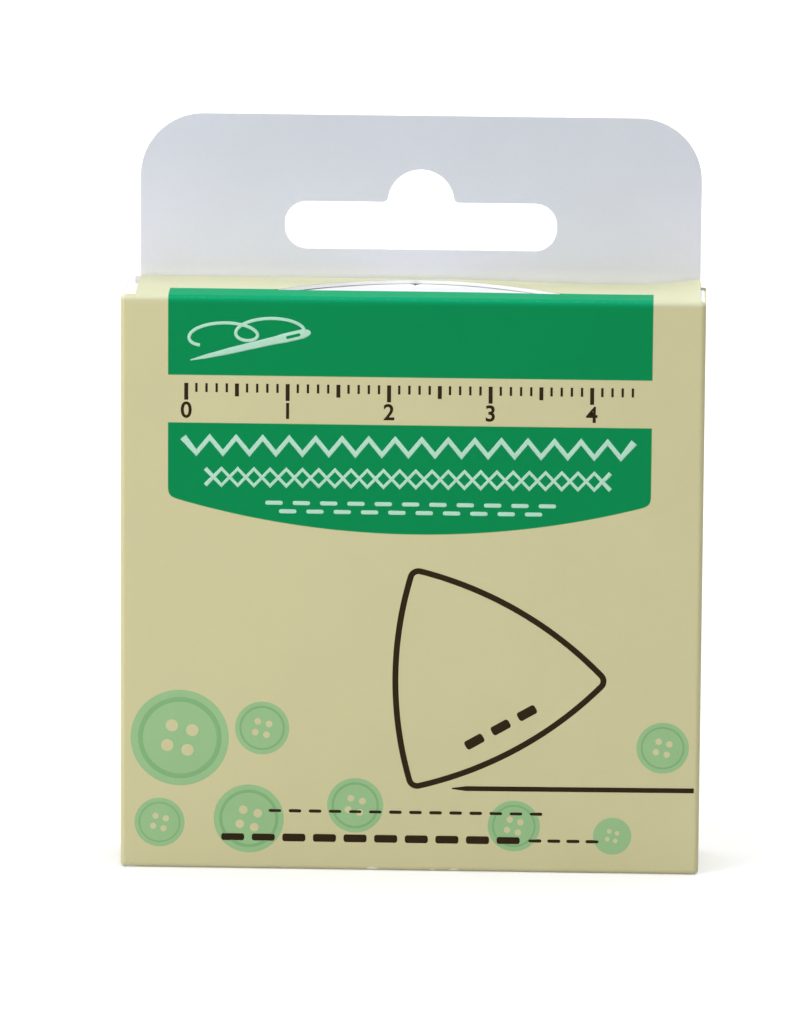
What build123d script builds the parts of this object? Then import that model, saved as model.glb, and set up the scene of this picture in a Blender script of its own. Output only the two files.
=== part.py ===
from build123d import *
import os
from math import copysign, cos, radians, sin, sqrt, tan

# A hang-tab folding carton that holds one triangular block of tailor's chalk.
# The front of the carton faces -Y, +X is to its right, +Z is up, and the
# origin is the centre of its base. All lengths are in millimetres.

# The chalk, which the carton is cut to hold: bowed sides that end in marking edges
chalk_side = 54.0
chalk_side_radius = 82.0
chalk_corner_radius = 3.3
chalk_thickness = 7.4
chalk_edge_thickness = 2.0
chalk_bevel_width = 8.0

# The room round the chalk in the carton
chalk_side_gap = 1.9345
chalk_head_gap = 6.04
chalk_seat_gap = 0.15
chalk_front_gap = 0.5
chalk_tuck_gap = 0.6

# The folded board, and the creases that its panels turn on
board = 0.4
fold_radius = 0.5
crease_slit_angle = 4.0

# The hang tab, and the hang hole that is punched through it
tab_rise = 16.5
tab_corner_radius = 6.3
slot_width = 27.0
slot_height = 4.8
slot_end_radius = 2.2
slot_below_tab_top = 13.5
hook_radius = 3.3
hook_foot_radius = 0.5

# The tab and the closures are narrower than the sleeve, and lie a little to its right
relief = 1.0
relief_shift = 0.45

# The two end closures: a panel, and the tuck flap folded down from it
closure_rear_gap = 0.3
tuck_length = 7.0
tuck_side_taper = 0.8
tuck_corner_radius = 3.6

# The half-moon finger cut in the top panel
finger_cut_width = 28.5
finger_cut_setback = 3.2
finger_cut_rear_gap = 0.4

# The dust flaps under the closures
layer_gap = 0.1
dust_flap_tip_gap = 0.06
dust_flap_front_relief = 0.25
dust_flap_rear_relief = 0.35
dust_flap_tip_taper = 0.7
dust_flap_corner_radius = 0.8
dust_flap_give = 5.0
dust_flap_slit_angle = 3.0

# The glue flap, bonded inside the left side panel
glue_flap_width = 7.5
glue_flap_end_angle = 30.0
side_panel_edge_setback = 0.15

# What the cutters run past the chalk
cutter_overrun = 1.0

# The chalk's outline, measured from its middle
apothem = chalk_side / (2 * sqrt(3))
bow_centre = sqrt(chalk_side_radius**2 - (chalk_side / 2) ** 2) - apothem
corner_arc_reach = chalk_side_radius - chalk_corner_radius
corner_centre = sqrt(corner_arc_reach**2 - 3 / 4 * bow_centre**2) - bow_centre / 2
chalk_foot = chalk_side_radius - bow_centre
chalk_width = sqrt(3) * corner_centre + 2 * chalk_corner_radius
chalk_height = chalk_foot + corner_centre + chalk_corner_radius

# The sleeve that goes round it, with a dust flap and a closure over each end
end_layers = 2 * board + layer_gap
carton_width = chalk_width + 2 * (chalk_side_gap + board)
carton_height = chalk_height + chalk_seat_gap + chalk_head_gap + 2 * end_layers
chalk_room = chalk_front_gap + chalk_thickness + chalk_tuck_gap
carton_depth = chalk_room + 3 * board + closure_rear_gap

# Places that follow from these sizes
half_width = carton_width / 2
front_face = -carton_depth / 2
back_face = carton_depth / 2
front_inside = front_face + board
back_inside = back_face - board
flat_half_width = half_width - fold_radius
inner_fold_radius = fold_radius - board
closure_rear = back_inside - closure_rear_gap
tab_top = carton_height + tab_rise
dust_flap_level = board + layer_gap
side_base = dust_flap_level + fold_radius
side_top = carton_height - side_base
top_fold = carton_height - fold_radius
front_fold = front_face + fold_radius
back_fold = back_face - fold_radius
rear_fold = closure_rear - fold_radius
side_fold_x = half_width - fold_radius
glue_fold_x = -half_width + board + fold_radius
relieved_half_width = half_width - relief
half_crease = 45.0 - crease_slit_angle

os.makedirs("parts", exist_ok=True)


def bend(centre, start_angle, sweep):
    """The outline of a stretch of board that is bent round a fold's centre."""
    with BuildSketch() as stretch:
        with BuildLine():
            outer = CenterArc(centre, fold_radius, start_angle, sweep)
            inner = CenterArc(centre, inner_fold_radius, start_angle, sweep)
            Line(outer @ 0, inner @ 0)
            Line(outer @ 1, inner @ 1)
        make_face()
    return stretch.sketch


def board_strip(low_corner, high_corner):
    """A flat stretch of board, in the sketch that is open."""
    width = high_corner[0] - low_corner[0]
    height = high_corner[1] - low_corner[1]
    with Locations(((low_corner[0] + high_corner[0]) / 2, (low_corner[1] + high_corner[1]) / 2)):
        Rectangle(width, height)


def finish(piece, name):
    """Names a finished piece and writes its file."""
    piece.part.label = name
    export_step(piece.part, f"parts/{name}.step")


# Front panel: flat between the upright folds, with half of each end crease
with BuildPart() as front_panel:
    with BuildSketch(Plane.YZ.offset(-flat_half_width)):
        board_strip((front_face, fold_radius), (front_inside, top_fold))
        add(bend((front_fold, top_fold), 180.0, -half_crease))
        add(bend((front_fold, fold_radius), 180.0, half_crease))
    extrude(amount=2 * flat_half_width)
finish(front_panel, "front_panel")

# Back panel: the flat rear wall, from the base up to the foot of the hang tab
with BuildPart() as back_panel:
    with BuildSketch(Plane.XZ.offset(-back_face)):
        board_strip((glue_fold_x, 0), (flat_half_width, carton_height))
    extrude(amount=board)
finish(back_panel, "back_panel")

# Hang tab: the back panel's own board, carried on above the top closure
slot_base = tab_top - slot_below_tab_top
slot_top = slot_base + slot_height
with BuildPart() as hang_tab:
    with BuildSketch(Plane.XZ.offset(-back_face)) as tab_outline:
        board_strip(
            (relief_shift - relieved_half_width, carton_height),
            (relief_shift + relieved_half_width, tab_top),
        )
        fillet(tab_outline.vertices().group_by(Axis.Y)[-1], tab_corner_radius)
    extrude(amount=board)
    with BuildSketch(Plane.XZ.offset(-back_face)) as hang_hole:
        with Locations((relief_shift, (slot_base + slot_top) / 2)):
            RectangleRounded(slot_width, slot_height, slot_end_radius)
        with Locations((relief_shift, slot_top)):
            Circle(hook_radius)
        along_slot_top = hang_hole.vertices().group_by(Axis.Y)[-1]
        fillet(along_slot_top.sort_by_distance((relief_shift, slot_top))[:2], hook_foot_radius)
    extrude(amount=board, mode=Mode.SUBTRACT)
finish(hang_tab, "hang_tab")

# Right side panel: one board from the front fold round to the back fold
with BuildPart() as right_side_panel:
    with BuildSketch(Plane.XZ.offset(-back_fold)):
        board_strip((half_width - board, side_base), (half_width, side_top))
        add(bend((side_fold_x, side_top), 0.0, 45.0))
        add(bend((side_fold_x, side_base), 0.0, -90.0))
    extrude(amount=back_fold - front_fold)
    with BuildSketch(Plane.XY.offset(dust_flap_level)):
        add(bend((side_fold_x, front_fold), 270.0, 90.0))
        add(bend((side_fold_x, back_fold), 0.0, 90.0))
    extrude(amount=carton_height - 2 * dust_flap_level)
finish(right_side_panel, "right_side_panel")

# Left side panel: folded at the front, and cut off flush where it laps the glue flap
side_rear_edge = back_face - side_panel_edge_setback
with BuildPart() as left_side_panel:
    with BuildSketch(Plane.XZ.offset(-side_rear_edge)):
        board_strip((-half_width, side_base), (-half_width + board, side_top))
        add(bend((-side_fold_x, side_top), 180.0, -45.0))
        add(bend((-side_fold_x, side_base), 180.0, 90.0))
    extrude(amount=side_rear_edge - front_fold)
    with BuildSketch(Plane.XY.offset(dust_flap_level)):
        add(bend((-side_fold_x, front_fold), 180.0, 90.0))
    extrude(amount=carton_height - 2 * dust_flap_level)
finish(left_side_panel, "left_side_panel")

# Glue flap: turned in from the back panel and bonded inside the left side panel
glue_front = back_face - glue_flap_width
glue_slope = (glue_flap_width - fold_radius) * tan(radians(glue_flap_end_angle))
with BuildPart() as glue_flap:
    with BuildSketch(Plane.XY.offset(side_base)):
        board_strip(
            (-half_width + board, glue_front), (-half_width + 2 * board, back_fold)
        )
        add(bend((glue_fold_x, back_fold), 90.0, 90.0))
    extrude(amount=side_top - side_base)
    with BuildSketch(Plane.YZ.offset(-half_width)):
        for end, inward in ((side_base, 1), (side_top, -1)):
            with BuildLine():
                Polyline(
                    (back_fold, end),
                    (glue_front, end),
                    (glue_front, end + inward * glue_slope),
                    close=True,
                )
            make_face()
    extrude(amount=2 * board, mode=Mode.SUBTRACT)
finish(glue_flap, "glue_flap")


def closure(end, outward, finger_cut):
    """The closure panel and its tuck flap at one end of the sleeve, as two parts."""
    outer = end - outward * fold_radius
    inner_face = end - outward * board
    left = relief_shift - relieved_half_width
    right = relief_shift + relieved_half_width
    section = Plane.YZ.offset(left)
    with BuildPart() as panel:
        with BuildSketch(section):
            board_strip(
                (front_fold, min(end, inner_face)), (rear_fold, max(end, inner_face))
            )
            add(bend((front_fold, outer), outward * 90.0, outward * half_crease))
            add(bend((rear_fold, outer), outward * 90.0, -outward * half_crease))
        extrude(amount=right - left)
        if finger_cut:
            chord = front_face + finger_cut_setback
            chord_left = (relief_shift - finger_cut_width / 2, chord)
            chord_right = (relief_shift + finger_cut_width / 2, chord)
            crown = (relief_shift, rear_fold - finger_cut_rear_gap)
            with BuildSketch(Plane.XY.offset(inner_face)):
                with BuildLine():
                    ThreePointArc(chord_left, crown, chord_right)
                    Line(chord_right, chord_left)
                make_face()
            extrude(amount=board, mode=Mode.SUBTRACT)

    tip = end - outward * tuck_length
    with BuildPart() as tuck:
        with BuildSketch(section):
            board_strip(
                (closure_rear - board, min(outer, tip)), (closure_rear, max(outer, tip))
            )
            add(bend((rear_fold, outer), 0.0, outward * half_crease))
        extrude(amount=right - left)
        with BuildSketch(Plane.XZ.offset(-closure_rear)) as tuck_outline:
            with BuildLine():
                Polyline(
                    (left, end),
                    (right, end),
                    (right, outer),
                    (right - tuck_side_taper, tip),
                    (left + tuck_side_taper, tip),
                    (left, outer),
                    close=True,
                )
            make_face()
            tuck_tip = tuck_outline.vertices().sort_by(Axis.Y, reverse=outward < 0)[:2]
            fillet(tuck_tip, tuck_corner_radius)
        extrude(amount=fold_radius, mode=Mode.INTERSECT)
    return panel, tuck


top_panel, top_tuck_flap = closure(carton_height, 1, True)
finish(top_panel, "top_panel")
finish(top_tuck_flap, "top_tuck_flap")
bottom_panel, bottom_tuck_flap = closure(0, -1, False)
finish(bottom_panel, "bottom_panel")
finish(bottom_tuck_flap, "bottom_tuck_flap")

flap_front = front_inside + dust_flap_front_relief
flap_rear = closure_rear - board - dust_flap_rear_relief


def dust_flap(side, fold_height, outward, bend_angle):
    """One dust flap, turned in level under the closure, with its own share of the fold."""
    flap_face = fold_height + outward * fold_radius
    flap_inner = flap_face - outward * board
    tip = side * dust_flap_tip_gap
    fold_centre = side * side_fold_x
    with BuildPart() as flap:
        with BuildSketch(Plane.XZ.offset(-flap_rear)):
            board_strip(
                (min(tip, fold_centre), min(flap_face, flap_inner)),
                (max(tip, fold_centre), max(flap_face, flap_inner)),
            )
            if bend_angle:
                turn = -side * outward * bend_angle
                add(bend((fold_centre, fold_height), outward * 90.0, turn))
        extrude(amount=flap_rear - flap_front)
        with BuildSketch(Plane.XY.offset(min(flap_face, flap_inner))) as outline:
            hinge = side * half_width
            with BuildLine():
                Polyline(
                    (hinge, flap_front),
                    (tip, flap_front + dust_flap_tip_taper),
                    (tip, flap_rear),
                    (hinge, flap_rear),
                    close=True,
                )
            make_face()
            flap_tip = outline.vertices().sort_by(Axis.X, reverse=side < 0)[:2]
            fillet(flap_tip, dust_flap_corner_radius)
        reach = fold_radius if outward > 0 else board
        extrude(amount=reach, both=True, mode=Mode.INTERSECT)
    return flap


top_flap_bend = 45.0 - dust_flap_give - dust_flap_slit_angle
for side, side_name in ((-1, "left"), (1, "right")):
    finish(dust_flap(side, side_top, 1, top_flap_bend), f"top_{side_name}_dust_flap")
    finish(dust_flap(side, side_base, -1, 0), f"bottom_{side_name}_dust_flap")

# Chalk: three bowed sides with rounded corners, point up, bevelled to its marking edges
chalk_middle_height = end_layers + chalk_seat_gap + chalk_foot
chalk_middle_depth = front_inside + chalk_front_gap + chalk_thickness / 2
chalk_plane = Plane(
    origin=(0, chalk_middle_depth, chalk_middle_height), x_dir=(1, 0, 0), z_dir=(0, -1, 0)
)
side_directions = (-90.0, 30.0, 150.0)
with BuildPart() as chalk:
    with BuildSketch(chalk_plane) as chalk_outline:
        Circle(chalk_side)
        for direction in side_directions:
            back = direction + 180.0
            centre = (bow_centre * cos(radians(back)), bow_centre * sin(radians(back)))
            with Locations(centre):
                Circle(chalk_side_radius, mode=Mode.INTERSECT)
        fillet(chalk_outline.vertices(), chalk_corner_radius)
    extrude(amount=chalk_thickness / 2, both=True)
    drop = (chalk_thickness - chalk_edge_thickness) / 2
    overrun_drop = drop * (1 + cutter_overrun / chalk_bevel_width)
    for direction in side_directions:
        to_side = Vector(cos(radians(direction)), 0, sin(radians(direction)))
        centre = chalk_plane.origin - to_side * bow_centre
        bevel_start = chalk_side_radius - chalk_bevel_width
        bevel_end = chalk_side_radius + cutter_overrun
        with BuildSketch(Plane(origin=centre, x_dir=to_side, z_dir=to_side.cross(Vector(0, 1, 0)))):
            for face in (-chalk_thickness / 2, chalk_thickness / 2):
                clear = face + copysign(cutter_overrun, face)
                with BuildLine():
                    Polyline(
                        (bevel_start, face),
                        (bevel_end, face - copysign(overrun_drop, face)),
                        (bevel_end, clear),
                        (bevel_start, clear),
                        close=True,
                    )
                make_face()
        revolve(axis=Axis(centre, (0, 1, 0)), mode=Mode.SUBTRACT)
finish(chalk, "chalk")

print("carton:", round(carton_width, 3), round(carton_height, 3), round(carton_depth, 3))
print("chalk:", round(chalk_width, 3), round(chalk_height, 3), chalk_thickness)
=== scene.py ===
from math import atan2, cos, degrees, pi, radians, sin, sqrt

import bmesh
import bpy
from mathutils import Matrix, Vector


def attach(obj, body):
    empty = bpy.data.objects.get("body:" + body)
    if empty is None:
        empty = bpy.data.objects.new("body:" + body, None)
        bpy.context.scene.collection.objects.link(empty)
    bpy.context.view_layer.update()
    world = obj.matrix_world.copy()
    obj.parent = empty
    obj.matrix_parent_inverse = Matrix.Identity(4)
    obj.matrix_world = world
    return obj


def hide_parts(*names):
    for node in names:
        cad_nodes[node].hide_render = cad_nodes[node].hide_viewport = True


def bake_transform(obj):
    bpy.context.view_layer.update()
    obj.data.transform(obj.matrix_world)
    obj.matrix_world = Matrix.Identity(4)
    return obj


MM = 0.001  # the object's sizes below are in millimetres

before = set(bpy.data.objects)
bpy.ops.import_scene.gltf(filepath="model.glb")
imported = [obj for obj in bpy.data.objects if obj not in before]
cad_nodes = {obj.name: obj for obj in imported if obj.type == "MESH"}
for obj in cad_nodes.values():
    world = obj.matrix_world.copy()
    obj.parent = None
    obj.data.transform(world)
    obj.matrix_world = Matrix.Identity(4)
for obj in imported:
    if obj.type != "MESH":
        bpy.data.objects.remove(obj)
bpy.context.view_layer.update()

# Camera: a long lens looking slightly down at the carton's front, a little from
# its right, turned a fraction of a degree, as the carton stands in its picture.
camera_azimuth = radians(1.648)
camera_elevation = radians(12.734)
camera_roll = radians(0.396)
camera_distance = 900.0 * MM
camera_target = Vector((-1.289, 0.0, 35.554)) * MM
lens_pixels, picture_height, sensor = 9059.6, 1024, 36.0

toward_camera = Vector((
    sin(camera_azimuth) * cos(camera_elevation),
    -cos(camera_azimuth) * cos(camera_elevation),
    sin(camera_elevation),
))
camera_data = bpy.data.cameras.new("camera")
camera_data.sensor_width = sensor
camera_data.lens = lens_pixels / picture_height * sensor
camera_data.clip_start, camera_data.clip_end = 0.05, 20.0
camera = bpy.data.objects.new("camera", camera_data)
bpy.context.scene.collection.objects.link(camera)
camera.rotation_mode = "QUATERNION"
camera.location = camera_target + toward_camera * camera_distance
upright = toward_camera.to_track_quat("Z", "Y")
camera.rotation_quaternion = upright @ Matrix.Rotation(camera_roll, 3, "Z").to_quaternion()
bpy.context.scene.camera = camera


# Studio: a pale floor, an even white surround, and four soft lamps: one near the
# carton's left front, one over it, and one far off both in front and behind.
def node(tree, kind, *inputs, **settings):
    """A shader node with its settings, and its inputs linked or set in order."""
    made = tree.nodes.new("ShaderNode" + kind)
    for key, value in settings.items():
        setattr(made, key, value)
    for socket, value in zip(made.inputs, inputs):
        if isinstance(value, bpy.types.NodeSocket):
            tree.links.new(value, socket)
        elif value is not None:
            socket.default_value = value
    return made


def seen_directly(tree):
    """1 for rays from the camera, and for those that gloss or glass sends on."""
    path = node(tree, "LightPath")
    plain = node(tree, "Math", path.outputs["Is Camera Ray"], path.outputs["Is Glossy Ray"],
                 operation="MAXIMUM")
    clear = node(tree, "Math", plain.outputs[0], path.outputs["Is Transmission Ray"],
                 operation="MAXIMUM")
    return clear.outputs[0]


surround_strength = 0.30
world = bpy.data.worlds.new("surround")
world.use_nodes = True
bpy.context.scene.world = world
tree = world.node_tree
tree.nodes.clear()
lit = node(tree, "Background", (1, 1, 1, 1), surround_strength)
seen = node(tree, "Background", (1, 1, 1, 1), 1.0)
either = node(tree, "MixShader", seen_directly(tree), lit.outputs[0], seen.outputs[0])
tree.links.new(either.outputs[0], node(tree, "OutputWorld").inputs[0])

floor_shade = (0.70, 0.70, 0.70, 1)
near_glow, far_glow = 0.30, 0.85
near_reach, far_reach, floor_half = 0.08, 0.55, 6.0
floor_material = bpy.data.materials.new("studio_floor")
floor_material.use_nodes = True
tree = floor_material.node_tree
tree.nodes.clear()
matte = node(tree, "BsdfDiffuse", floor_shade)
reach = node(tree, "VectorMath", node(tree, "TexCoord").outputs["Object"], operation="LENGTH")
strength = node(tree, "MapRange", reach.outputs["Value"], near_reach, far_reach,
                near_glow, far_glow)
glow = node(tree, "Emission", (1, 1, 1, 1), strength.outputs[0])
both = node(tree, "AddShader", matte.outputs[0], glow.outputs[0])
either = node(tree, "MixShader", seen_directly(tree), matte.outputs[0], both.outputs[0])
tree.links.new(either.outputs[0], node(tree, "OutputMaterial").inputs[0])
floor_mesh = bpy.data.meshes.new("studio_floor")
bm = bmesh.new()
bmesh.ops.create_grid(bm, x_segments=1, y_segments=1, size=floor_half)
bm.to_mesh(floor_mesh)
bm.free()
floor_mesh.materials.append(floor_material)
studio_floor = bpy.data.objects.new("studio_floor", floor_mesh)
bpy.context.scene.collection.objects.link(studio_floor)


def soft_lamp(name, place, aim, size, power):
    """A square studio lamp at a place, turned towards a point, both in metres."""
    data = bpy.data.lights.new(name, "AREA")
    data.shape, data.size, data.energy = "SQUARE", size, power
    lamp = bpy.data.objects.new(name, data)
    lamp.location = place
    lamp.rotation_mode = "QUATERNION"
    lamp.rotation_quaternion = (Vector(aim) - Vector(place)).to_track_quat("-Z", "Y")
    bpy.context.scene.collection.objects.link(lamp)


lit_middle = (0.0, 0.0, 0.035)
soft_lamp("left_lamp", (-0.36, -0.25, 0.17), lit_middle, size=0.30, power=1.2)
soft_lamp("front_lamp", (0.30, -1.00, 0.40), lit_middle, size=0.80, power=0.9)
soft_lamp("top_lamp", (0.00, -0.02, 0.75), lit_middle, size=0.60, power=4.8)
soft_lamp("back_lamp", (0.45, 1.00, 0.45), lit_middle, size=0.80, power=4.0)

# Front panel: coated carton board, printed in cream over its whole outer side
# with two green blocks, the upper one running over the top fold onto the lid.
# Its top and foot edges are its half of the crease to the closure at each end.
board = 0.4
fold_radius = 0.5
half_width, half_depth, height = 28.8, 5.0, 58.2
sleeve = ((0.0, 0.0, height / 2), (half_width, half_depth, height / 2))
cream = (0.590, 0.555, 0.322, 1)
green = (0.0012, 0.236, 0.072, 1)
coated_white = (0.80, 0.81, 0.82, 1)
reverse_white = (0.685, 0.705, 0.755, 1)
board_core = (0.92, 0.92, 0.91, 1)
# Painted light: the lid's cream and green are lighter, more saturated copies of the front's,
# standing for the stronger light on the top.
lit_lid_cream = (0.612, 0.618, 0.425, 1)
lit_lid_green = (0.002, 0.312, 0.132, 1)
# Painted shade: a grey colour laid along the front's foot, standing for the shade under its lower
# fold.
painted_foot_shade, foot_shade_share = (0.36, 0.35, 0.36, 1), 0.35
chipped = (0.86, 0.84, 0.68, 1)
foot_chips = ((-3.7, 0.75, 0.50), (2.35, 0.45, 0.34), (4.45, 0.70, 0.40))

block_left, block_right = -24.1, 23.62
header_foot, header_back = 50.25, -1.5
lower_block_top = 45.45
lower_arc_middle, lower_arc_foot, lower_arc_radius = 0.4, 34.42, 86.0
lower_corner_rounding = 1.2
print_blur, ink_depth = 0.07, 0.03
skin_roughness, bare_roughness = 0.42, 0.85


def calc(tree, operation, *values):
    """One step of arithmetic in a shader."""
    return node(tree, "Math", *values, operation=operation).outputs[0]


def distance(tree, across, up):
    """The length of an offset that is given by its two parts."""
    across_squared = calc(tree, "MULTIPLY", across, across)
    up_squared = calc(tree, "MULTIPLY", up, up)
    return calc(tree, "SQRT", calc(tree, "ADD", across_squared, up_squared))


def blend_colour(tree, share, first, second):
    """Two colours mixed by a share that varies over the surface."""
    mixed = tree.nodes.new("ShaderNodeMix")
    mixed.data_type = "RGBA"
    for index, value in ((0, share), (6, first), (7, second)):
        if isinstance(value, bpy.types.NodeSocket):
            tree.links.new(value, mixed.inputs[index])
        else:
            mixed.inputs[index].default_value = value
    return mixed.outputs[2]


def step_up(tree, value, start, width):
    """0 below start, rising to 1 over width."""
    ramp = node(tree, "MapRange", value, start, start + width, interpolation_type="SMOOTHSTEP")
    return ramp.outputs[0]


def green_blocks(tree, x, y, z):
    """1 inside the two printed green blocks, 0 outside them."""
    half_block = (block_right - block_left) / 2
    from_middle = calc(tree, "SUBTRACT", x, (block_left + block_right) / 2)
    sideways = calc(tree, "SUBTRACT", calc(tree, "ABSOLUTE", from_middle), half_block)
    header = calc(tree, "MAXIMUM", sideways, calc(tree, "SUBTRACT", header_foot, z))
    header = calc(tree, "MAXIMUM", header, calc(tree, "SUBTRACT", y, header_back))
    along = calc(tree, "SUBTRACT", x, lower_arc_middle)
    up = calc(tree, "SUBTRACT", z, lower_arc_foot + lower_arc_radius)
    past_arc = calc(tree, "SUBTRACT", distance(tree, along, up), lower_arc_radius)
    lower = calc(tree, "SMOOTH_MAX", sideways, past_arc, lower_corner_rounding)
    lower = calc(tree, "MAXIMUM", lower, calc(tree, "SUBTRACT", z, lower_block_top))
    nearest = calc(tree, "MINIMUM", header, lower)
    return calc(tree, "SUBTRACT", 1.0, step_up(tree, nearest, -print_blur / 2, print_blur))


def printed_board(name, box, ink=None, reverse=None, carried=False, sheen=0.06):
    """Carton board. The box gives its outer skin: ink outside, pulp in its cut
    edges, and the bare reverse inside. A carried board bends or springs, so it
    reads the place that each point has in the flat, closed carton."""
    material = bpy.data.materials.new(name)
    material.use_nodes = True
    tree = material.node_tree
    tree.nodes.clear()
    if carried:
        place = node(tree, "Attribute", attribute_name="rest_place").outputs["Vector"]
    else:
        place = node(tree, "TexCoord").outputs["Object"]
    place = node(tree, "VectorMath", place, operation="SCALE")
    place.inputs["Scale"].default_value = 1 / MM
    place = place.outputs[0]
    x, y, z = node(tree, "SeparateXYZ", place).outputs

    centre, half = box
    inner = tuple(length - fold_radius for length in half)
    offset = node(tree, "VectorMath", place, centre, operation="SUBTRACT").outputs[0]
    offset = node(tree, "VectorMath", offset, operation="ABSOLUTE").outputs[0]
    offset = node(tree, "VectorMath", offset, inner, operation="SUBTRACT").outputs[0]
    beyond = node(tree, "VectorMath", offset, (0, 0, 0), operation="MAXIMUM").outputs[0]
    reach = node(tree, "VectorMath", beyond, operation="LENGTH").outputs["Value"]
    qx, qy, qz = node(tree, "SeparateXYZ", offset).outputs
    largest = calc(tree, "MAXIMUM", calc(tree, "MAXIMUM", qx, qy), qz)
    outside = calc(tree, "ADD", reach, calc(tree, "MINIMUM", largest, 0.0))
    depth = calc(tree, "SUBTRACT", fold_radius, outside)
    fold = step_up(tree, calc(tree, "SUBTRACT", reach, largest), 0.05, 0.09)

    cloud = node(tree, "TexNoise", place, None, 0.11, 3.0, 0.55).outputs[0]
    grain = node(tree, "TexNoise", place, None, 3.2, 4.0, 0.6).outputs[0]
    fibre = node(tree, "TexNoise", place, None, 14.0, 2.0, 0.5).outputs[0]

    outer = ink(tree, x, y, z) if ink else cream
    inner_side = reverse(tree, x, y, z) if reverse else reverse_white
    wear = calc(tree, "MULTIPLY", fold, step_up(tree, grain, 0.45, 0.30))
    outer = blend_colour(tree, calc(tree, "MULTIPLY", wear, 0.03), outer, coated_white)
    under_ink = step_up(tree, depth, ink_depth, ink_depth)
    at_inside = step_up(tree, depth, board - 2 * ink_depth, ink_depth)
    colour = blend_colour(tree, under_ink, outer, board_core)
    colour = blend_colour(tree, at_inside, colour, inner_side)
    tone = calc(tree, "MULTIPLY_ADD", cloud, 0.07, calc(tree, "MULTIPLY", grain, 0.05))
    tone = calc(tree, "ADD", tone, 0.94)
    colour = node(tree, "VectorMath", colour, operation="SCALE")
    tree.links.new(tone, colour.inputs["Scale"])

    skin = calc(tree, "SUBTRACT", 1.0, under_ink)
    rough = calc(tree, "MULTIPLY_ADD", skin, skin_roughness - bare_roughness, bare_roughness)
    rough = calc(tree, "MULTIPLY_ADD", calc(tree, "SUBTRACT", cloud, 0.5), 0.16, rough)
    relief = calc(tree, "MULTIPLY_ADD", grain, 0.5, calc(tree, "MULTIPLY", fibre, 0.5))
    bump = node(tree, "Bump", 0.35, 0.02 * MM)
    tree.links.new(relief, bump.inputs["Height"])
    shader = node(tree, "BsdfPrincipled")
    shader.inputs["IOR"].default_value = 1.48
    shader.inputs["Specular IOR Level"].default_value = sheen
    tree.links.new(colour.outputs[0], shader.inputs["Base Color"])
    tree.links.new(rough, shader.inputs["Roughness"])
    tree.links.new(bump.outputs[0], shader.inputs["Normal"])
    tree.links.new(shader.outputs[0], node(tree, "OutputMaterial").inputs[0])
    return material


def front_ink(tree, x, y, z):
    """The print of the front and the lid: lighter over the fold and on the lid, which is painted
    light, and at the foot a grey band of painted shade, with three small chips, each given by its
    place, half width and height."""
    near_top = step_up(tree, z, height - 0.9, 0.8)
    behind_front = step_up(tree, y, 1.0 - half_depth, 1.0)
    top_light_share = calc(tree, "MAXIMUM", near_top, behind_front)
    paper = blend_colour(tree, top_light_share, cream, lit_lid_cream)
    block = blend_colour(tree, top_light_share, green, lit_lid_green)
    printed = blend_colour(tree, green_blocks(tree, x, y, z), paper, block)
    # A grey band of painted shade along the foot; the chips below are real wear.
    at_foot = calc(tree, "SUBTRACT", 1.0, step_up(tree, z, 0.08, 0.22))
    shaded_and_chipped = blend_colour(tree, calc(tree, "MULTIPLY", at_foot, foot_shade_share), printed, painted_foot_shade)
    for chip_middle, half_chip, chip_height in foot_chips:
        across = calc(tree, "DIVIDE", calc(tree, "SUBTRACT", x, chip_middle), half_chip)
        upward = calc(tree, "DIVIDE", z, chip_height)
        from_chip = distance(tree, across, upward)
        bare = calc(tree, "SUBTRACT", 1.0, step_up(tree, from_chip, 0.55, 0.45))
        shaded_and_chipped = blend_colour(tree, bare, shaded_and_chipped, chipped)
    return shaded_and_chipped


def dress(node_name, material):
    """Gives a frame node its material."""
    mesh = cad_nodes[node_name].data
    mesh.materials.clear()
    mesh.materials.append(material)


front_board = printed_board("front_print", sleeve, front_ink)
dress("front_panel", front_board)


# Front corners: the same board, pressed round where a level fold meets an upright
# one as the carton is folded up. Each is drawn as the eighth of a ball.
front_fold, top_fold, foot_fold = fold_radius - half_depth, height - fold_radius, fold_radius


def whole(bm):
    """All of a mesh's parts, as the bmesh operators take them."""
    return bm.verts[:] + bm.edges[:] + bm.faces[:]


corners = bmesh.new()
for side in (-1, 1):
    for level, upward in ((foot_fold, -1), (top_fold, 1)):
        ball_middle = Vector((side * (half_width - fold_radius), front_fold, level)) * MM
        corner = bmesh.new()
        bmesh.ops.create_uvsphere(corner, u_segments=32, v_segments=16, radius=fold_radius * MM,
                                  matrix=Matrix.Translation(ball_middle))
        for normal in ((-side, 0, 0), (0, 1, 0), (0, 0, -upward)):
            cut = bmesh.ops.bisect_plane(corner, geom=whole(corner), dist=1e-6,
                                         plane_co=ball_middle, plane_no=normal, clear_outer=True)
            rim = [item for item in cut["geom_cut"] if isinstance(item, bmesh.types.BMEdge)]
            bmesh.ops.contextual_create(corner, geom=rim)
        bmesh.ops.recalc_face_normals(corner, faces=corner.faces)
        one = bpy.data.meshes.new("front_corner")
        corner.to_mesh(one)
        corner.free()
        corners.from_mesh(one)
corners_mesh = bpy.data.meshes.new("front_corners")
corners.to_mesh(corners_mesh)
corners.free()
corners_mesh.materials.append(front_board)
front_corners = bpy.data.objects.new("front_corners", corners_mesh)
bpy.context.scene.collection.objects.link(front_corners)
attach(front_corners, "carton")

# Ruler print: plain graduations in dark ink along the pale strip between the two
# green blocks, a millimetre apart, with a number at each centimetre.
front_face = -half_depth


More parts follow.
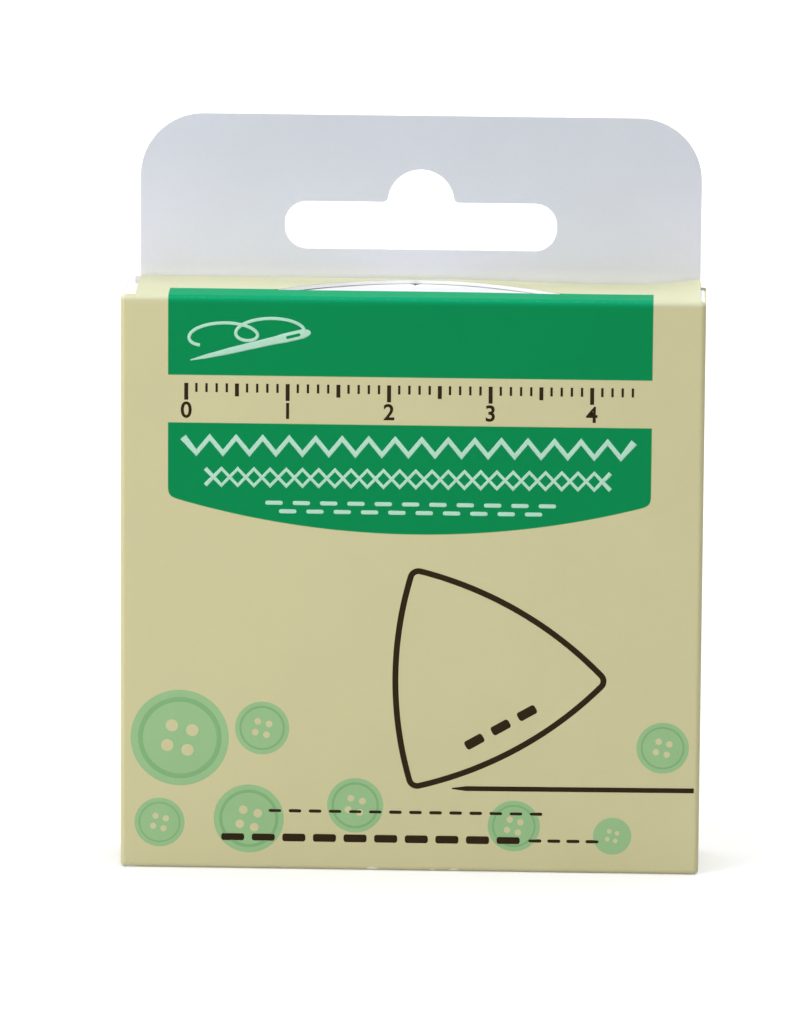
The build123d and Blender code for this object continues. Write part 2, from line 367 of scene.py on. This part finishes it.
def ink(name, colour, spread=0.10):
    """A printed ink, a little uneven in tone as it is on board."""
    material = bpy.data.materials.new(name)
    material.use_nodes = True
    tree = material.node_tree
    tree.nodes.clear()
    place = node(tree, "TexCoord").outputs["Object"]
    cloud = node(tree, "TexNoise", place, None, 240.0, 3.0, 0.5).outputs[0]
    grain = node(tree, "TexNoise", place, None, 5200.0, 2.0, 0.5).outputs[0]
    tone = calc(tree, "MULTIPLY_ADD", calc(tree, "ADD", cloud, grain), spread, 1.0 - spread)
    shade = node(tree, "VectorMath", colour[:3], operation="SCALE")
    tree.links.new(tone, shade.inputs["Scale"])
    shader = node(tree, "BsdfPrincipled")
    shader.inputs["Specular IOR Level"].default_value = 0.06
    tree.links.new(shade.outputs[0], shader.inputs["Base Color"])
    rough = calc(tree, "MULTIPLY_ADD", cloud, 0.2, 0.34)
    tree.links.new(rough, shader.inputs["Roughness"])
    tree.links.new(shader.outputs[0], node(tree, "OutputMaterial").inputs[0])
    return material


def keep(name, mesh, material):
    """A finished mesh as a piece that rides on the carton."""
    mesh.materials.clear()
    mesh.materials.append(material)
    piece = bpy.data.objects.new(name, mesh)
    bpy.context.scene.collection.objects.link(piece)
    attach(piece, "carton")
    return piece


def as_mesh(curve):
    """The mesh of a curve or of a line of figures."""
    drawn = bpy.data.objects.new(curve.name, curve)
    bpy.context.scene.collection.objects.link(drawn)
    depsgraph = bpy.context.evaluated_depsgraph_get()
    mesh = bpy.data.meshes.new_from_object(drawn.evaluated_get(depsgraph))
    bpy.data.objects.remove(drawn)
    return mesh


def ink_lines(name, paths, width, material, closed=False, rise=0.012):
    """Printed lines on the front. A path is a list of x, z and share of the width."""
    curve = bpy.data.curves.new(name, "CURVE")
    curve.dimensions = "3D"
    curve.bevel_depth = width / 2 * MM
    curve.bevel_resolution = 2
    curve.use_fill_caps = not closed
    for path in paths:
        spline = curve.splines.new("POLY")
        spline.points.add(len(path) - 1)
        spline.use_cyclic_u = closed
        for point, (x, z, share) in zip(spline.points, path):
            point.co = (x * MM, front_face * MM, z * MM, 1.0)
            point.radius = share
    mesh = as_mesh(curve)
    for vertex in mesh.vertices:
        off_board = vertex.co.y - front_face * MM
        vertex.co.y = front_face * MM + off_board * rise / (width / 2)
    return keep(name, mesh, material)


def dash(x, z, length, turn=0.0, square=False):
    """The path of one straight mark about its middle, with rounded or square ends."""
    along_x, along_z = cos(radians(turn)), sin(radians(turn))
    if square:
        marks = ((0.0, 1.0), (length, 1.0))
    else:
        marks = (
            (0.0, 0.45), (0.06, 0.8), (0.18, 1.0),
            (length - 0.18, 1.0), (length - 0.06, 0.8), (length, 0.45),
        )
    return [
        (x + (at - length / 2) * along_x, z + (at - length / 2) * along_z, share)
        for at, share in marks
    ]


dark_ink = ink("dark_ink", (0.026, 0.015, 0.005, 1))
ruler_start, ruler_marks, ruler_top = -22.3, 44, 49.45
centimetre_mark, half_mark, millimetre_mark = 1.7, 1.3, 0.9
fine_marks, main_marks = [], []
for count in range(ruler_marks + 1):
    length = millimetre_mark
    if count % 10 == 0:
        length = centimetre_mark
    elif count % 5 == 0:
        length = half_mark
    marks = main_marks if count % 5 == 0 else fine_marks
    marks.append(dash(ruler_start + count, ruler_top - length / 2, length, 90.0, square=True))
ink_lines("ruler_fine_marks", fine_marks, 0.24, dark_ink)
ink_lines("ruler_main_marks", main_marks, 0.40, dark_ink)

figure_size, figure_foot, figure_rise, figure_weight = 2.25, 45.98, 0.006, 0.045
figures = bmesh.new()
for centimetre in range(ruler_marks // 10 + 1):
    line = bpy.data.curves.new("figure", "FONT")
    line.body = str(centimetre)
    line.size = figure_size * MM
    line.extrude = figure_rise * MM
    line.offset = figure_weight * MM
    line.align_x = "CENTER"
    figure = as_mesh(line)
    place = Vector((ruler_start + 10 * centimetre, front_face, figure_foot)) * MM
    figure.transform(Matrix.Translation(place) @ Matrix.Rotation(radians(90), 4, "X"))
    figures.from_mesh(figure)
figures_mesh = bpy.data.meshes.new("ruler_figures")
figures.to_mesh(figures_mesh)
figures.free()
keep("ruler_figures", figures_mesh, dark_ink)

# Stitch rows: three plain borders in pale ink across the lower green block, each
# narrower than the one above: a zigzag, a chain of diamonds, and running stitches.
# The first two are printed as unbroken lines, the last as short rounded marks.
pale_ink = ink("pale_ink", (0.44, 0.70, 0.56, 1))


def zigzag(left, right, middle, half_height, turns, first):
    """The path of one zigzag, mitred full width at its turns."""
    pitch = (right - left) / turns
    share = sqrt(1 + (2 * half_height / pitch) ** 2)
    return [
        (left + count * pitch, middle + first * half_height * (-1) ** count, share)
        for count in range(turns + 1)
    ]


def row(count, start, pitch, z, length):
    """The paths of a row of equal marks, the first of them about its start."""
    return [dash(start + at * pitch, z, length) for at in range(count)]


wide_zigzag = zigzag(left=-22.6, right=21.9, middle=43.2, half_height=0.80, turns=34, first=1)
ink_lines("zigzag_border", [wide_zigzag], 0.46, pale_ink)
chain = {"left": -20.4, "right": 19.6, "middle": 40.0, "half_height": 0.85, "turns": 25}
ink_lines("diamond_border_over", [zigzag(**chain, first=1)], 0.30, pale_ink)
ink_lines("diamond_border_under", [zigzag(**chain, first=-1)], 0.30, pale_ink, rise=0.016)
upper_row = row(11, start=-13.6, pitch=2.7, z=37.45, length=1.7)
lower_row = row(10, start=-12.25, pitch=2.7, z=36.6, length=1.7)
ink_lines("running_stitch_border", upper_row + lower_row, 0.42, pale_ink)

# Needle and thread: a plain motif in pale ink on the left of the green header. The
# needle thickens from its point to its eye, and the thread runs back in two loops.
needle_angle = 14.0
needle_foot = (-21.9, 51.75)
along_x, along_z = cos(radians(needle_angle)), sin(radians(needle_angle))
needle_shape = (
    (0.0, 0.12), (1.5, 0.5), (4.0, 0.8), (8.5, 1.0),
    (9.6, 1.2), (11.4, 1.2), (12.0, 0.8), (12.2, 0.3),
)
needle = [
    (needle_foot[0] + at * along_x, needle_foot[1] + at * along_z, share)
    for at, share in needle_shape
]
ink_lines("needle", [needle], 0.80, pale_ink)
eye_middle = 10.45
eye_place = (needle_foot[0] + eye_middle * along_x, needle_foot[1] + eye_middle * along_z)
green_ink = ink("green_ink", green)
ink_lines("needle_eye", [dash(*eye_place, 1.5, needle_angle)], 0.38, green_ink, rise=0.03)
thread_steps, thread_run, thread_fall = 60, 9.2, 1.0
thread_loops, loop_reach, loop_height = 2.0, 2.1, 1.0
thread = []
for count in range(thread_steps + 1):
    turn = count / thread_steps
    thread.append((
        eye_place[0] - thread_run * turn + loop_reach * sin(2 * pi * turn * thread_loops),
        eye_place[1] - thread_fall * turn + loop_height * (1 - cos(2 * pi * turn * thread_loops)),
        1.0,
    ))
ink_lines("thread", [thread], 0.32, pale_ink, rise=0.020)

# Chalk diagram: the outline of a three-sided chalk with bowed sides and rounded
# tips, and the line it has drawn, in dark ink. Three basting marks lie inside it.
diagram_middle, diagram_reach = (6.61, 19.75), 8.4
side_radius, tip_radius, stroke = 38.0, 1.1, 0.60
from_middle = side_radius - diagram_reach
tip_middle = sqrt((side_radius - tip_radius) ** 2 - 3 / 4 * from_middle**2) - from_middle / 2
half_side = pi / 3 - atan2(from_middle * sin(pi / 3), tip_middle + from_middle * cos(pi / 3))
half_tip = pi / 3 - half_side


def polar(middle, radius, angle):
    """The point at a radius and an angle from a middle."""
    return middle[0] + radius * cos(angle), middle[1] + radius * sin(angle)


outline = []
for third in range(3):
    tip_direction = radians(120.0 * third)
    tip = polar(diagram_middle, tip_middle, tip_direction)
    side_direction = tip_direction + pi / 3
    arc_middle = polar(diagram_middle, -from_middle, side_direction)
    for count in range(9):
        angle = tip_direction - (1 - count / 4) * half_tip
        outline.append((*polar(tip, tip_radius - stroke / 2, angle), 1.0))
    for count in range(1, 40):
        angle = side_direction - (1 - count / 20) * half_side
        outline.append((*polar(arc_middle, side_radius - stroke / 2, angle), 1.0))
ink_lines("chalk_diagram", [outline], stroke, dark_ink, closed=True)
drawn_line = [(4.2, 8.57, 0.25), (5.6, 8.58, 1.0), (28.25, 8.67, 1.0)]
ink_lines("drawn_line", [drawn_line], 0.5, dark_ink)
basting_middle, basting_turn, basting_length = (9.0, 14.9), 30.0, 2.0
basting = [
    dash(*polar(basting_middle, along, radians(basting_turn)), basting_length, basting_turn)
    for along in (-3.0, 0.0, 3.0)
]
ink_lines("basting_marks", basting, 0.95, dark_ink)

# Button pattern: flat four-hole buttons along the foot, printed in a pale green,
# with their rims in a deeper one. The holes show the cream of the board.
button_ink = ink("button_ink", (0.30, 0.50, 0.25, 1))
rim_ink = ink("button_rim_ink", (0.215, 0.42, 0.19, 1))
hole_ink = ink("button_hole_ink", cream)
buttons = (
    (-22.9, 13.4, 4.9), (-14.7, 14.5, 2.7), (-16.0, 5.2, 3.5), (-24.9, 4.7, 2.5),
    (-5.4, 6.7, 2.8), (10.4, 4.8, 2.6), (25.1, 13.0, 2.6), (20.2, 3.9, 1.9),
)
round_steps, rim_share, hole_reach, hole_share, hole_turn = 48, 0.80, 0.30, 0.125, 32


def discs(name, spots, rise, material):
    """Flat printed discs on the front, each given by its middle and radius."""
    bm = bmesh.new()
    for x, z, radius in spots:
        place = Matrix.Translation(Vector((x, front_face, z)) * MM)
        place = place @ Matrix.Rotation(radians(90), 4, "X")
        made = bmesh.ops.create_circle(bm, cap_ends=True, segments=round_steps,
                                       radius=radius * MM, matrix=place)
        faces = {face for vertex in made["verts"] for face in vertex.link_faces}
        lifted = bmesh.ops.extrude_face_region(bm, geom=list(faces))
        moved = [item for item in lifted["geom"] if isinstance(item, bmesh.types.BMVert)]
        bmesh.ops.translate(bm, verts=moved, vec=(0, -rise * MM, 0))
    bmesh.ops.recalc_face_normals(bm, faces=bm.faces)
    mesh = bpy.data.meshes.new(name)
    bm.to_mesh(mesh)
    bm.free()
    keep(name, mesh, material)


discs("button_faces", buttons, 0.004, button_ink)
rims, holes = [], []
for x, z, radius in buttons:
    rims.append([
        (*polar((x, z), rim_share * radius, 2 * pi * step / round_steps), radius / 3.5)
        for step in range(round_steps)
    ])
    for quarter in range(4):
        angle = radians(hole_turn + 90 * quarter)
        holes.append((*polar((x, z), hole_reach * radius, angle), hole_share * radius))
ink_lines("button_rims", rims, 0.42, rim_ink, closed=True, rise=0.007)
discs("button_holes", holes, 0.007, hole_ink)

# Running stitches: two rows in dark ink along the foot, printed over the buttons:
# a fine row, and under it a bold one that ends in a few fine marks.
fine_row = row(14, start=-13.4, pitch=2.0, z=6.05, length=1.25)
bold_row = row(10, start=-17.6, pitch=3.05, z=3.3, length=2.3)
last_row = row(4, start=12.5, pitch=1.9, z=3.3, length=1.3)
ink_lines("fine_running_stitches", fine_row + last_row, 0.34, dark_ink, rise=0.016)
ink_lines("bold_running_stitches", bold_row, 0.80, dark_ink, rise=0.016)

# Back panel and both side panels: the same board round the sleeve, plain cream
# outside and bare inside. The sides end lower, where the dust flaps fold in.
side_level = board + 0.1
side_box = ((0.0, 0.0, height / 2), (half_width, half_depth, height / 2 - side_level))
back_box = ((0.0, 0.0, height / 2), (half_width, half_depth, 3 * height))
# Painted light: a paler white along the tab's crease, standing in for light where the lid's fold
# shades it.
painted_crease_light = (0.84, 0.85, 0.865, 1)


def back_reverse(tree, x, y, z):
    """The back panel's bare side, made paler near the tab's crease by painted light."""
    return blend_colour(tree, step_up(tree, z, height - 2.5, 2.0), reverse_white, painted_crease_light)


dress("back_panel", printed_board("back_print", back_box, reverse=back_reverse))
dress("right_side_panel", printed_board("right_side_print", side_box))
dress("left_side_panel", printed_board("left_side_print", side_box))

# Glue flap: the strip of the sheet that is glued inside the left side panel. The
# back panel's cream runs on round its fold, and the board is bare beyond it.
glue_box = ((0.0, 0.0, height / 2), (half_width - board, half_depth, height / 2))
glue_bleed_edge = 3.6


def glue_flap_ink(tree, x, y, z):
    """Bare white, but cream along the fold."""
    return blend_colour(tree, step_up(tree, y, glue_bleed_edge, print_blur), coated_white, cream)


dress("glue_flap", printed_board("glue_flap_board", glue_box, glue_flap_ink))

# Hang tab: the back panel's board carried up past the carton, with a slot punched
# in it for a hook. It turns the bare side of the board to the front.
tab_box = ((0.0, 0.0, height / 2), (2 * half_width, half_depth, 3 * height))
tab_length = 16.5
# Painted light: the tab's white is lighter at its foot and greyer towards its free end, standing
# for light thrown up from the lid.
tab_white_lit_foot = (0.738, 0.743, 0.815, 1)
tab_white_shaded_head = (0.623, 0.648, 0.710, 1)


def tab_reverse(tree, x, y, z):
    """The tab's bare side, with painted light: palest along its crease, and painted lighter at its
    foot and greyer towards its free end.
    """
    rising = step_up(tree, z, height, tab_length)
    tab_light_gradient = blend_colour(tree, rising, tab_white_lit_foot, tab_white_shaded_head)
    return blend_colour(tree, step_up(tree, z, height - 0.2, 1.7), painted_crease_light, tab_light_gradient)


dress("hang_tab", printed_board("hang_tab_print", tab_box, reverse=tab_reverse))

# Closures: at each end a flap of the same board, creased to the front panel and
# tucked in at the back. This is the one at the foot, which lies flat and shut.
closure_rear = 4.3
closure_box = (
    (0.0, (closure_rear - half_depth) / 2, height / 2),
    (2 * half_width, (closure_rear + half_depth) / 2, height / 2),
)
base_board = printed_board("base_print", closure_box)
dress("bottom_panel", base_board)
dress("bottom_tuck_flap", base_board)

# Lid and its tuck flap: the closure at the top, with the half-moon finger cut. It
# is bowed as board is once opened: risen a little at the rear, except towards the
# right, and sprung up at the right rear corner.
lid_board = printed_board("lid_print", closure_box, front_ink, carried=True, sheen=0.02)
lid_right_end = 28.25
rear_fold, crease_room = closure_rear - fold_radius, 3.0
crease_angle, near_crease, bend_reach = 45.0, 5.0, fold_radius + 0.1
lid_rise, lid_dip, dip_start, dip_end = 0.20, 0.30, 3.0, 19.0
spring_start, spring_lift, rear_bearing = 21.0, 0.68, 0.22
bearing_start, tuck_fade = 2.0, 6.0


def note_places(bm):
    """Writes each point's place into the attribute that carried board reads."""
    layer = bm.verts.layers.float_vector.new("rest_place")
    for vertex in bm.verts:
        vertex[layer] = vertex.co


def push_out_of_flat(bm, cuts, shift):
    """Cuts board finer, each cut at a place along a direction, notes its points'
    places, and moves them by a shift that depends on the place."""
    for at, normal in cuts:
        bmesh.ops.bisect_plane(bm, geom=whole(bm), plane_co=Vector(normal) * at * MM,
                               plane_no=normal)
    note_places(bm)
    if shift:
        for vertex in bm.verts:
            vertex.co += Vector(shift(*(vertex.co / MM))) * MM


def formed(name, node_name, body, cuts, shift, material):
    """A frame node's board as a new piece in its place, pushed out of flat."""
    bm = bmesh.new()
    bm.from_mesh(cad_nodes[node_name].data)
    bmesh.ops.remove_doubles(bm, verts=bm.verts, dist=1e-7)
    push_out_of_flat(bm, cuts, shift)
    bmesh.ops.triangulate(bm, faces=bm.faces)
    mesh = bpy.data.meshes.new(name)
    bm.to_mesh(mesh)
    bm.free()
    for polygon in mesh.polygons:
        polygon.use_smooth = True
    mesh.set_sharp_from_angle(angle=radians(25))
    mesh.materials.append(material)
    piece = bpy.data.objects.new(name, mesh)
    bpy.context.scene.collection.objects.link(piece)
    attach(piece, body)
    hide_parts(node_name)


def progress(value, start, end):
    """How far a value has come from start to end, from 0 to 1."""
    return min(max((value - start) / (end - start), 0.0), 1.0)


def lid_lift(x, y):
    """How far the lid stands above flat."""
    rearward = progress(y, -half_depth, closure_rear)
    dip = progress(x, dip_start, dip_end)
    corner = progress(x, spring_start, lid_right_end)
    bow = lid_rise - lid_dip * dip**2 * (3 - 2 * dip)
    return bow * rearward + spring_lift * corner**2 * rearward**2


def spring_up(x, y, z):
    """The lid's and the tuck flap's shape, which fades out towards the tuck flap's edge."""
    backward = rear_bearing * progress(y, bearing_start, rear_fold)
    upward = lid_lift(x, y) * progress(z, height - tuck_fade, height)
    return 0.0, backward, upward


def drawn_back(y, z, turn):
    """Draws a bend's end back from its crease by an angle, so that the crease can open."""
    arm = Vector((0.0, y - rear_fold, z - top_fold))
    off_crease = abs(degrees(atan2(arm.z, arm.y)) - crease_angle)
    if arm.length > bend_reach or off_crease > near_crease:
        return Vector()
    return Matrix.Rotation(radians(turn), 3, "X") @ arm - arm


def lid_shape(x, y, z):
    """The bowed lid, its rear bend drawn back from the crease."""
    return Vector(spring_up(x, y, z)) + drawn_back(y, z, crease_room)


def tuck_shape(x, y, z):
    """The tuck flap under it, its bend drawn back the other way."""
    return Vector(spring_up(x, y, z)) + drawn_back(y, z, -crease_room)


cuts_along_lid = [(dip_start + 2.0 * step, (1, 0, 0)) for step in range(9)]
cuts_along_lid += [(spring_start + 0.9 * step, (1, 0, 0)) for step in range(1, 9)]
lid_cuts = cuts_along_lid + [(step - 4.0, (0, 1, 0)) for step in range(9)]
formed("lid_board", "top_panel", "top_lid", lid_cuts, lid_shape, lid_board)
formed("lid_tuck_board", "top_tuck_flap", "top_tuck", lid_cuts, tuck_shape, lid_board)

# Dust flaps: two at each end, folded in from the side panels inside the closure.
# They are left unprinted but for a strip of the cream along their front edge. The
# top ones' tips are shut up to each other and rise with the lid above them.
flap_bleed_edge = -1.94


def flap_ink(tree, x, y, z):
    """Cream along the front edge, and white beyond it."""
    return blend_colour(tree, step_up(tree, y, flap_bleed_edge, print_blur), cream, coated_white)


flap_board = printed_board("dust_flap_board", side_box, flap_ink)
dress("bottom_left_dust_flap", flap_board)
dress("bottom_right_dust_flap", flap_board)
top_flap_board = printed_board("top_dust_flap_board", side_box, flap_ink, carried=True)
tip_closing, tip_band, tip_lift, following = 0.055, 1.0, 0.09, 0.92


def flap_shape(x, y, z):
    """How a top dust flap lies: level at its fold, and up under the lid at its tip."""
    inward = progress(abs(x), half_width - fold_radius, 0.0)
    closing = tip_closing if abs(x) < tip_band else 0.0
    lift = lid_lift(x, y)
    under_lid = following * inward * max(lift, 0.0) + min(lift, 0.0)
    return (-closing if x > 0 else closing), 0.0, under_lid + tip_lift * inward


flap_cuts = [(x, (1, 0, 0)) for x in (-20, -10, -2, 3, 6, 9, 12, 15, 18, 21, 24, 26)]
for side in ("left", "right"):
    formed(f"{side}_flap_board", f"top_{side}_dust_flap", f"top_{side}_flap", flap_cuts,
           flap_shape, top_flap_board)

# Creases: the thinned strip of board in each moving fold, which joins the two
# halves of the bend.
inner_radius = fold_radius - board


def crease_web(name, along, centre, start_angle, turn, ends, material,
               cuts=(), shift=None):
    """One crease strip about a fold's centre, along X or along Y, between the two halves of its
    bend.
    """
    across = Vector((0, 1, 0)) if along == "X" else Vector((1, 0, 0))
    axis = Vector((1, 0, 0)) if along == "X" else Vector((0, -1, 0))
    across_at, up_at = centre
    centre = Vector((0, across_at, up_at) if along == "X" else (across_at, 0, up_at)) * MM

    def spoke(angle):
        return across * cos(radians(angle)) + Vector((0, 0, sin(radians(angle))))

    length = (ends[1] - ends[0]) * MM
    run = Vector((1, 0, 0)) if along == "X" else Vector((0, 1, 0))
    radial = spoke(start_angle)
    place = Matrix((run * length, radial * board * MM, run.cross(radial))).transposed().to_4x4()
    halfway = run * (ends[0] + ends[1]) / 2 * MM
    place.translation = centre + halfway + radial * (inner_radius + board / 2) * MM
    bm = bmesh.new()
    bmesh.ops.create_grid(bm, x_segments=1, y_segments=1, size=0.5, matrix=place)
    bmesh.ops.spin(bm, geom=whole(bm), cent=centre, axis=axis, angle=radians(turn), steps=2)
    bmesh.ops.recalc_face_normals(bm, faces=bm.faces)
    push_out_of_flat(bm, cuts, shift)
    mesh = bpy.data.meshes.new(name)
    bm.to_mesh(mesh)
    bm.free()
    mesh.materials.append(material)
    web = bpy.data.objects.new(name, mesh)
    bpy.context.scene.collection.objects.link(web)
    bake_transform(web)


front_web = printed_board("front_crease_print", sleeve, front_ink, carried=True, sheen=0.04)
base_web = printed_board("base_crease_print", closure_box, carried=True)
lid_ends, slit = (-27.35, lid_right_end), 8.0
crease_web("top_front_crease", "X", (front_fold, top_fold), 139, -slit, lid_ends,
           front_web)
crease_web("top_rear_crease", "X", (rear_fold, top_fold), 49 + crease_room,
           -slit - 2 * crease_room, lid_ends, lid_board,
           cuts_along_lid, spring_up)
crease_web("bottom_front_crease", "X", (front_fold, foot_fold), 221, slit, lid_ends,
           front_web)
crease_web("bottom_rear_crease", "X", (rear_fold, foot_fold), 311, slit, lid_ends,
           base_web)
side_fold, flap_fold = half_width - fold_radius, height - side_level - fold_radius
flap_ends = (-4.35, 3.55)
crease_web("top_right_flap_crease", "Y", (side_fold, flap_fold), 45, slit, flap_ends,
           top_flap_board)
crease_web("top_left_flap_crease", "Y", (-side_fold, flap_fold), 135, -slit, flap_ends,
           top_flap_board)

# Chalk: a three-sided block pressed from powder, rose red, with a bloom of its own
# paler dust in clouds and specks. It stands loose on the bottom dust flaps.
chalk_red, chalk_dust = (0.46, 0.062, 0.075, 1), (0.62, 0.20, 0.20, 1)
chalk_material = bpy.data.materials.new("pressed_chalk")
chalk_material.use_nodes = True
tree = chalk_material.node_tree
tree.nodes.clear()
place = node(tree, "TexCoord").outputs["Object"]
cloud = node(tree, "TexNoise", place, None, 160.0, 4.0, 0.6).outputs[0]
speck = node(tree, "TexNoise", place, None, 2600.0, 3.0, 0.6).outputs[0]
dust = calc(tree, "MULTIPLY", step_up(tree, cloud, 0.42, 0.3), 0.45)
dust = calc(tree, "ADD", dust, calc(tree, "MULTIPLY", step_up(tree, speck, 0.52, 0.12), 0.25))
colour = blend_colour(tree, dust, chalk_red, chalk_dust)
bump = node(tree, "Bump", 0.6, 0.05 * MM)
tree.links.new(calc(tree, "ADD", cloud, speck), bump.inputs["Height"])
shader = node(tree, "BsdfPrincipled")
tree.links.new(colour, shader.inputs["Base Color"])
tree.links.new(calc(tree, "MULTIPLY_ADD", speck, 0.12, 0.86), shader.inputs["Roughness"])
shader.inputs["Specular IOR Level"].default_value = 0.2
tree.links.new(bump.outputs[0], shader.inputs["Normal"])
tree.links.new(shader.outputs[0], node(tree, "OutputMaterial").inputs[0])
dress("chalk", chalk_material)

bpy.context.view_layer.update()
view_settings = bpy.context.scene.view_settings
view_settings.view_transform = "Standard"
